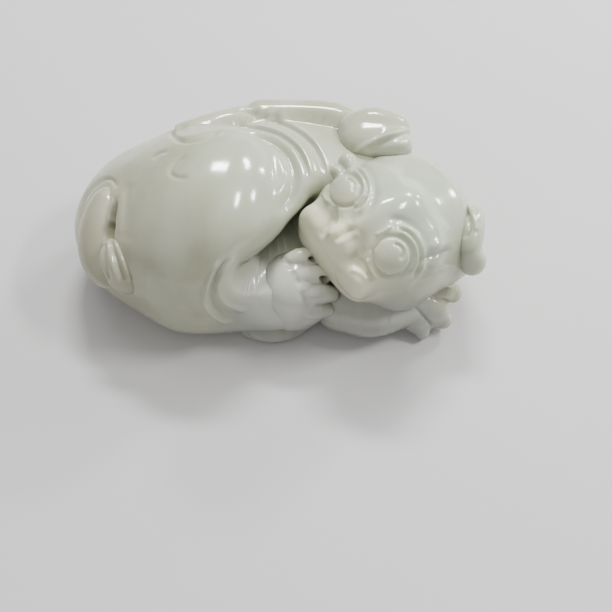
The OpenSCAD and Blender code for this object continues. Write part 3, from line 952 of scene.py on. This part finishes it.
@dataclass
class Head(Carving):
    """Head turned back over the feet, with its muzzle, nose, eyes, ears and nape."""

    yaw: float = 214.0
    roll: float = 8.0
    skull_half: tuple[float, float, float] = (7.7, 10.8, 10.3)

    def __post_init__(self) -> None:
        """Set the head's own axes: ahead to the lips, out to the left cheek, up to the crown."""
        turn = math.radians(self.yaw)
        ahead = vec(math.cos(turn), math.sin(turn), 0)
        out = unit(np.cross(vec(0, 0, 1), ahead) - vec(0, 0, math.tan(math.radians(self.roll))))
        middle = Box.of("head").middle + vec(-0.3, 0.46, -0.3)
        self.axes = Axes(middle, ahead, out, np.cross(ahead, out))
        self.eyes = (
            Eye(vec(6.4, -5.3, 8.0), unit(vec(0.35, -0.35, 0.87)), 3.9),
            Eye(vec(6.9, 6.6, 7.9), unit(vec(0.45, 0.40, 0.80)), 4.3),
        )

    def form(self, points: Array) -> Array:
        """Skull, nape, brow, cheeks and muzzle in one."""
        p = self.axes.local(points)
        head = egg(p, (2.3, 0.3, -0.8), self.skull_half, 0, 2.4)
        nape = egg(p, (-5.2, -0.7, -2.6), (7.4, 11.6, 8.6), 0, 2.0)
        head = join(head, nape, 3.4)
        muzzle = egg(p, (8.1, -0.4, 0.8), (4.4, 7.6, 4.0), 3, 4.4)
        head = join(head, muzzle, 1.8)
        brow = egg(p, (3.6, 1.1, 7.6), (5.6, 2.7, 3.2))
        head = join(head, brow, 2.6)
        for eye in self.eyes:
            mound = eye.middle - eye.out * 3.1
            head = join(head, np.linalg.norm(p - mound, axis=-1) - eye.mound, 1.8)
            ball = eye.middle - eye.out * 2.0
            head = join(head, np.linalg.norm(p - ball, axis=-1) - 0.66 * eye.mound, 0.4)
        for spot in ((2.4, -9.6, 5.9, 1.4), (4.7, -9.2, 5.9, 0.9)):
            head = join(head, np.linalg.norm(p - vec(*spot[:3]), axis=-1) - spot[3], 0.6)
        nose = egg(p, (8.7, 0.2, 4.7), (3.2, 2.75, 3.0), 0, 3.8)
        head = join(head, nose, 0.9)
        pads = join(
            egg(p, (9.9, -4.9, 3.2), (2.4, 2.3, 2.5), 0, 3.2),
            egg(p, (10.1, 4.9, 2.8), (2.4, 2.6, 2.7), 0, 3.2), 0.2,
        )
        return join(head, pads, 0.8)

    def lines(self) -> Lift:
        """Lines of the face: lips, nose ridges, lids, rings of the eyes, tufts and creases."""
        left, right = (self.axes.world([eye.middle])[0] for eye in (self.eyes[1], self.eyes[0]))
        drawn = [
            Stroke(self.at([(12.1, -6.6, 4.0), (12.6, -3.0, 3.8), (12.7, 0.8, 3.4), (12.4, 3.6, 3.2),
                (11.6, 6.4, 2.8)]), 0.5, -0.18),
            Stroke(self.at([(8.4, -6.6, 4.6), (8.0, -4.6, 5.2), (9.6, -2.6, 5.2)]), 0.3, -0.35),
            Stroke(self.at([(12.0, -2.5, 4.2), (10.4, -2.6, 5.6), (8.0, -2.6, 6.2)]), 0.5, -0.22),
            Stroke(self.at([(12.0, 2.7, 3.8), (10.2, 2.9, 5.2), (8.2, 3.1, 6.2)]), 0.5, -0.22),
            Stroke(self.at([(11.5, -1.1, 6.0), (10.0, -0.8, 6.9), (8.2, -0.5, 7.8)]), 0.42, 0.24),
            Stroke(self.at([(11.6, 0.5, 5.8), (10.0, 0.9, 6.7), (8.2, 1.3, 7.6)]), 0.42, 0.24),
            Stroke(self.at([(11.5, -0.3, 5.9), (10.0, 0.05, 6.8), (8.2, 0.4, 7.7)]), 0.30, -0.26),
            Stroke(self.at([(9.8, 3.6, 5.4), (9.4, 5.0, 5.4), (9.6, 6.6, 4.6)]), 0.3, -0.30),
            Stroke(self.at([(11.4, 4.0, 4.6), (10.6, 5.4, 4.8), (10.2, 6.6, 4.4)]), 0.35, 0.30),
            Stroke([(18.6, -17.2, 18), (20.6, -16.1, 18.8), (23.4, -15.0, 19)], 0.8, 0.34, 0.5),
            Stroke([(19.4, -14.7, 20.0), (21.4, -13.7, 20.3), (24.0, -12.8, 20)], 0.8, 0.34, 0.5),
            Stroke([(18.8, -15.9, 19), (20.6, -15.1, 19.8), (23.8, -13.9, 19.8)], 0.28, -0.30, 0.35),
            Stroke([(18.6, -18.0, 17), (21.0, -16.9, 18.0), (24.0, -15.8, 18.4)], 0.28, -0.26, 0.35),
            Stroke([(14.2, -1.0, 21), (16.8, -2.0, 22), (17.8, -4.4, 22.5), (19.7, -6.6, 22.5),
                (21.7, -9.2, 21.5), (24.6, -9.85, 19.5)], 0.8, -0.12),
        ]
        for middle, size, start in ((left, 1.0, -40), (right, 0.85, -60)):
            drawn += [
                Stroke(ring(middle, 2.75 * size, start - 150, start + 210), 0.30, -0.42, 0, 40),
                Stroke(ring(middle, 3.35 * size, start, start + 130), 0.20, 0.30),
                Stroke(ring(middle, 3.80 * size, start, start + 130), 0.20, -0.32),
                Stroke(ring(middle, 4.30 * size, start, start + 130), 0.22, 0.30),
                Stroke(ring(middle, 3.20 * size, 190, 250), 0.26, 0.36),
                Stroke(ring(middle, 4.9 * size, start - 20, start + 150), 0.55, -0.30),
                Stroke(ring(middle + (0.6, 0.5, 0.3), 1.0 * size, -60, 120), 0.22, -0.34),
            ]
        drawn.append(Stroke([tuple(left + (-2.2, 2.2, 1.6)), tuple(left + (0.2, 3.6, 1.9))], 0.22, 0.26))
        lock = [tuple(right + (1.2, -2.6, -0.4)), tuple(right + (3.2, -1.1, 0.4))]
        drawn.append(Stroke(lock, 0.26, 0.34))
        return strokes(*drawn)

    def at(self, spots: Sequence[Sequence[float]]) -> list[tuple[float, ...]]:
        """Spots of the head's own axes, put back in the frame."""
        return [tuple(spot) for spot in self.axes.world(spots)]

    def build(self) -> None:
        """Make the head and the ears."""
        at = self.axes.world
        fan = Fan(at((-5, 0, -1)), at((7.5, 0, 0.8)), 300, 330, 18, seam=-self.axes.up, crowd=0.3)
        skin = fan.skin(self.form)
        self.piece("head", skin.lifted(self.lines()).rested(), Slot.GREEN, [
            "head", "muzzle", "lower_jaw", "nose", "right_eye", "left_eye", "right_brow", "nape_mane",
            "left_brow", "right_lip_pad", "left_lip_pad", "right_cheek_tuft", "left_cheek_tuft",
        ])
        right = Box.of("right_ear").middle
        skin = Fan(right - vec(2.4, -0.6, 1.4), right + vec(2.4, 0.2, -1.4), 170, 170, 9).skin(
            lambda x: self.right_ear_form(x - right))
        lines = strokes(
            Stroke([(10.2, 3.4, 19), (12.6, 4.6, 19.8), (15.2, 5.9, 20), (17.8, 7.4, 19.6),
                (19.4, 8.4, 18.6)], 0.35, 0.35),
            Stroke([(12.2, 3.3, 19.6), (14.6, 4.7, 20), (17.4, 6.2, 19.8), (19.2, 7.0, 18.8)], 0.6, -0.35),
        )
        self.piece("right_ear", skin.lifted(lines), Slot.PALE, ["right_ear"])
        left = Box.of("left_ear").middle - vec(0.8, 0.3, 0)
        skin = Fan(left + vec(-0.8, 2.2, 1), left + vec(0, -2.4, -1.2), 170, 170, 9).skin(
            lambda x: self.left_ear_form(x - left))
        lines = strokes(
            Stroke([(26.0, -2.8, 16), (26.9, -5.0, 16), (27.2, -7.1, 15.6), (26.1, -8.8, 15)], 0.3, -0.42),
            Stroke([(26.8, -2.6, 16), (27.8, -5.0, 15.6), (28.1, -7.6, 15)], 0.4, 0.28),
        )
        self.piece("left_ear", skin.lifted(lines), Slot.PALE, ["left_ear"])

    def right_ear_form(self, p: Array) -> Array:
        """Ear rolled back along the neck, a facet below its roll."""
        ear = egg(p, (-0.2, -0.1, -1.0), (5.3, 3.9, 3.0), 6, 2.4)
        roll = rope(p, [(-4.0, 1.2, -0.2, 1.3), (-0.4, 1.9, 0.4, 1.9), (3.4, 0.9, 0.0, 1.6)], 8)
        lobe = egg(p, (2.6, -2.4, -0.6), (2.8, 2.3, 2.6))
        return join(join(ear, roll, 1.0), lobe, 0.8)

    def left_ear_form(self, p: Array) -> Array:
        """Leaf hanging over the nape, its lobe below."""
        leaf = egg(p, (-0.2, 0.3, 0.2), (1.9, 4.9, 3.4), -10, 2.2)
        lobe = egg(p, (0.0, -3.4, -1.4), (1.9, 1.9, 2.3))
        return join(leaf, lobe, 0.8)


# ---- studio ---------------------------------------------------------------------------


@dataclass(frozen=True)
class Lamp:
    """Rectangular lamp that faces the stone from a compass way and a height, in degrees.

    A lamp that isn't mirrored lights the stone but doesn't show in its polish.
    """

    azimuth: float
    height: float
    wide: float
    high: float
    power: float
    distance: float = 0.42
    mirrored: bool = True

    def hang(self, name: str, aim: Array) -> None:
        """Hang the lamp and turn it to the stone."""
        a, e = math.radians(self.azimuth), math.radians(self.height)
        way = vec(math.sin(a) * math.cos(e), math.cos(a) * math.cos(e), math.sin(e))
        light = bpy.data.lights.new(name, "AREA")
        light.shape, light.size, light.size_y, light.energy = "RECTANGLE", self.wide, self.high, self.power
        thing = bpy.data.objects.new(name, light)
        bpy.context.scene.collection.objects.link(thing)
        thing.location = aim * MM + way * self.distance
        thing.rotation_mode = "QUATERNION"
        thing.rotation_quaternion = Vector(way).to_track_quat("Z", "Y")
        thing.visible_glossy = self.mirrored


@dataclass
class Studio:
    """Pale floor, soft light from all round, a few small lamps overhead, and the camera."""

    stone: Box
    lens: float = 51.47
    tilt: float = 32.0
    sides: float = 0.12
    floor_half: float = 0.6
    floor_tint: tuple[float, float, float, float] = (0.52, 0.51, 0.51, 1)
    daylight: tuple[float, float, float, float] = (1.0, 0.995, 0.975, 1)
    overhead: float = 0.67

    def sky(self) -> bpy.types.World:
        """Soft light that is strongest overhead and weak from the sides."""
        world = bpy.data.worlds.new("studio")
        world.use_nodes = True
        nodes, links = world.node_tree.nodes, world.node_tree.links
        place = nodes.new("ShaderNodeTexCoord")
        parts = nodes.new("ShaderNodeSeparateXYZ")
        ramp = nodes.new("ShaderNodeMapRange")
        ramp.interpolation_type = "SMOOTHSTEP"
        for socket, value in zip(list(ramp.inputs)[1:5], (0.0, 1.0, self.sides, self.overhead)):
            socket.default_value = value
        links.new(place.outputs["Generated"], parts.inputs[0])
        links.new(parts.outputs["Z"], ramp.inputs[0])
        links.new(ramp.outputs[0], nodes["Background"].inputs[1])
        nodes["Background"].inputs[0].default_value = self.daylight
        return world

    def build(self) -> None:
        """Lay the floor, hang the lamps and set the camera."""
        floor = bpy.data.meshes.new("floor")
        far = self.floor_half
        corners = [(-far, -far, 0), (far, -far, 0), (far, far, 0), (-far, far, 0)]
        floor.from_pydata(corners, [], [(0, 1, 2, 3)])
        thing = bpy.data.objects.new("floor", floor)
        bpy.context.scene.collection.objects.link(thing)
        bench = Bench("floor_paper")
        bench.feed(bench.shader.inputs["Base Color"], self.floor_tint)
        bench.feed(bench.shader.inputs["Roughness"], 0.8)
        thing.data.materials.append(bench.material)
        thing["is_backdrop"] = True
        bpy.context.scene.world = self.sky()
        aim = self.stone.middle
        for k, lamp in enumerate((
            Lamp(5, 53, 0.13, 0.04, 2.1),
            Lamp(41, 31, 0.08, 0.035, 1.1),
            Lamp(52, 10, 0.03, 0.03, 0.3),
            Lamp(85, 48, 0.10, 0.035, 1.1),
            Lamp(75, 22, 0.05, 0.035, 0.5),
            Lamp(-20, 70, 0.40, 0.30, 1.6, 0.8, False),
            Lamp(215, 34, 0.30, 0.20, 1.0, 0.8, False),
        )):
            lamp.hang(f"lamp_{k + 1}", aim)
        camera = bpy.data.cameras.new("camera")
        camera.lens, camera.sensor_width = self.lens, 36.0
        camera.clip_start, camera.clip_end = 0.005, 10.0
        seat = bpy.data.objects.new("camera", camera)
        bpy.context.scene.collection.objects.link(seat)
        seat.location = (self.stone.foot + SEEN_FROM) * MM
        seat.rotation_euler = (math.radians(self.tilt), 0, 0)
        bpy.context.scene.camera = seat


def main() -> None:
    """Build the stone piece by piece, then the studio."""
    logging.basicConfig(level=logging.INFO, format="%(message)s")
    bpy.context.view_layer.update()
    stone = Box.whole()
    finishes = {slot: Jade(slot).made(stone) for slot in Slot}
    for part in (Trunk, Tail, Paws, Head):
        part(stone, finishes).build()
        log.info("%s done", part.__name__)
    Studio(stone).build()


if __name__ == "__main__":
    main()
